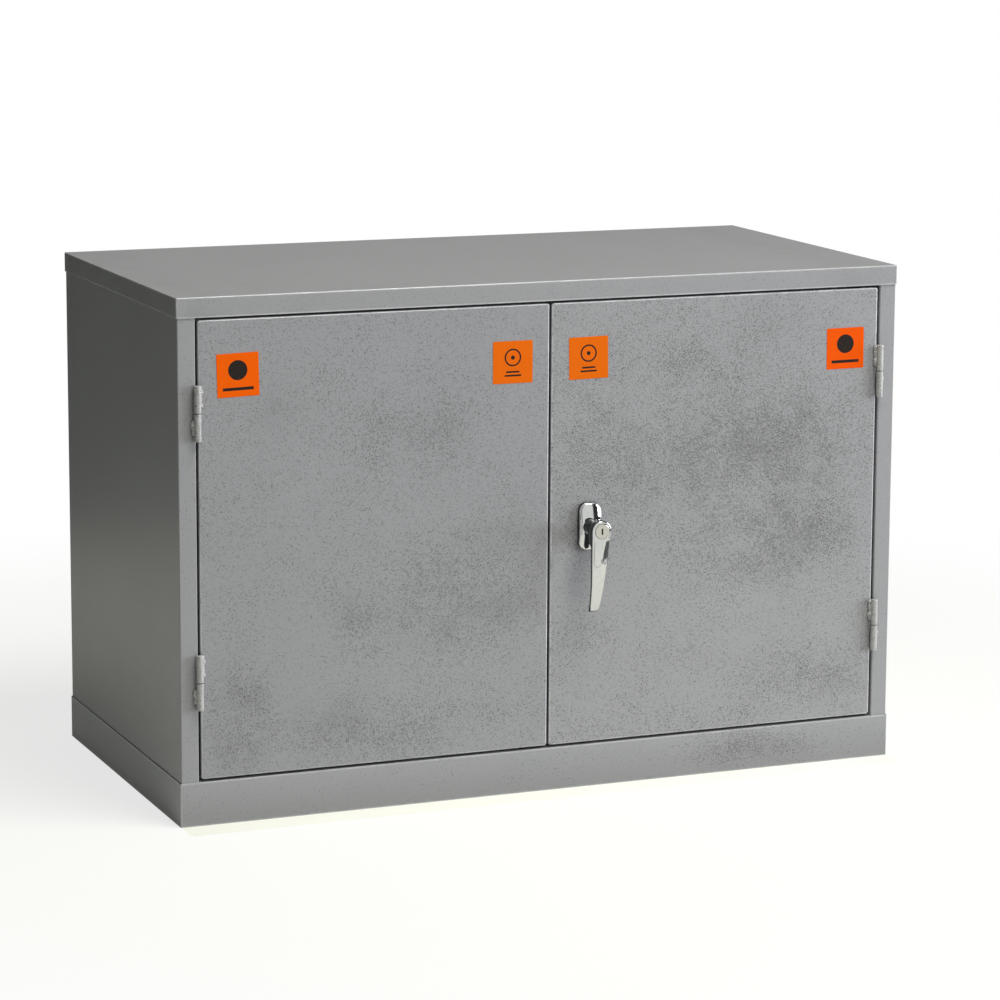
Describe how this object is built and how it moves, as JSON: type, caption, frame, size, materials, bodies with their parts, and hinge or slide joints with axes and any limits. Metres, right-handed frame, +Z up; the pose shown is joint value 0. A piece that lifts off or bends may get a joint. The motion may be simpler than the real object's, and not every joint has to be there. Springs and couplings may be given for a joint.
{
  "type": "reagent storage cabinet",
  "caption": "Low two-door steel cabinet for hazardous reagents, with a liquid-tight floor, a dished shelf and a locking lever handle.",
  "frame": {"origin": "bottom centre of the overall box, lever handle included; the plinth stands on z = 0", "axes": "+X right along the front, +Y from the doors to the back, +Z up"},
  "size_m": [0.914, 0.501, 0.613],
  "materials": {
    "cabinet_paint": "satin",
    "zinc_plated_steel": "satin",
    "handle_chrome": "polished",
    "buffer_rubber": "matte",
    "orange_label": "gloss"
  },
  "bodies": {
    "carcass": {"top_cap": "cabinet_paint", "base_plinth": "cabinet_paint", "side_panel_right": "cabinet_paint", "side_panel_left": "cabinet_paint", "back_panel": "cabinet_paint", "header_rail": "cabinet_paint", "floor_pan": "cabinet_paint", "floor_bearer": "zinc_plated_steel", "door_buffers": "buffer_rubber", "shelf_clips": "zinc_plated_steel", "shelf_tray": "cabinet_paint", "shelf_rib": "cabinet_paint", "shelf_strip_front_right": "zinc_plated_steel", "shelf_strip_front_left": "zinc_plated_steel", "shelf_strip_rear_right": "zinc_plated_steel", "shelf_strip_rear_left": "zinc_plated_steel", "hinge_pins": "zinc_plated_steel", "hinge_washers": "zinc_plated_steel", "hinge_upper_left_post_barrel": "cabinet_paint", "hinge_upper_right_post_barrel": "cabinet_paint", "hinge_lower_left_post_barrel": "cabinet_paint", "hinge_lower_right_post_barrel": "cabinet_paint"},
    "left_door": {"left_door_skin": "cabinet_paint", "left_door_stiffener": "cabinet_paint", "hinge_upper_left_door_barrel": "cabinet_paint", "hinge_lower_left_door_barrel": "cabinet_paint", "left_outer_label": "orange_label", "left_inner_label": "orange_label", "upper_bolt_housing": "zinc_plated_steel", "lower_bolt_housing": "zinc_plated_steel"},
    "right_door": {"right_door_skin": "cabinet_paint", "right_door_stiffener": "cabinet_paint", "hinge_upper_right_door_barrel": "cabinet_paint", "hinge_lower_right_door_barrel": "cabinet_paint", "right_inner_label": "orange_label", "right_outer_label": "orange_label", "escutcheon": "handle_chrome", "escutcheon_screws": "zinc_plated_steel", "upper_rod_guide": "zinc_plated_steel", "lower_rod_guide": "zinc_plated_steel"},
    "lever_assembly": {"lever": "handle_chrome", "lock_cylinder": "handle_chrome", "spindle": "zinc_plated_steel", "crank_plate": "zinc_plated_steel", "crank_screw": "zinc_plated_steel"},
    "key_plug_body": {"key_plug": "handle_chrome"},
    "upper_rod": {"upper_lock_rod": "zinc_plated_steel"},
    "lower_rod": {"lower_lock_rod": "zinc_plated_steel"},
    "upper_bolt": {"upper_slide_bolt": "zinc_plated_steel"},
    "lower_bolt": {"lower_slide_bolt": "zinc_plated_steel"}
  },
  "joints": [
    {"name": "left_door_hinge", "type": "hinge", "parent": "carcass", "child": "left_door", "pos_m": [-0.4337, -0.2141, 0.325], "axis": [0, 0, -1], "range_deg": [0, 180]},
    {"name": "right_door_hinge", "type": "hinge", "parent": "carcass", "child": "right_door", "pos_m": [0.4337, -0.2141, 0.325], "axis": [0, 0, 1], "range_deg": [0, 180]},
    {"name": "lever_turn", "type": "hinge", "parent": "right_door", "child": "lever_assembly", "pos_m": [0.0505, -0.22, 0.3185], "axis": [0, -1, 0], "range_deg": [0, 90]},
    {"name": "key_turn", "type": "hinge", "parent": "lever_assembly", "child": "key_plug_body", "pos_m": [0.0505, -0.245, 0.3185], "axis": [0, -1, 0], "range_deg": [0, 90]},
    {"name": "upper_rod_slide", "type": "slide", "parent": "right_door", "child": "upper_rod", "axis": [0, 0, 1], "range_m": [0, 0.02263]},
    {"name": "lower_rod_slide", "type": "slide", "parent": "right_door", "child": "lower_rod", "axis": [0, 0, -1], "range_m": [0, 0.02263]},
    {"name": "upper_bolt_slide", "type": "slide", "parent": "left_door", "child": "upper_bolt", "axis": [0, 0, 1], "range_m": [0, 0.015]},
    {"name": "lower_bolt_slide", "type": "slide", "parent": "left_door", "child": "lower_bolt", "axis": [0, 0, -1], "range_m": [0, 0.015]}
  ],
  "couplings": [
    {"joint": "upper_rod_slide", "follows": "lever_turn", "m_per_rad": 0.014405},
    {"joint": "lower_rod_slide", "follows": "lever_turn", "m_per_rad": 0.014405}
  ]
}
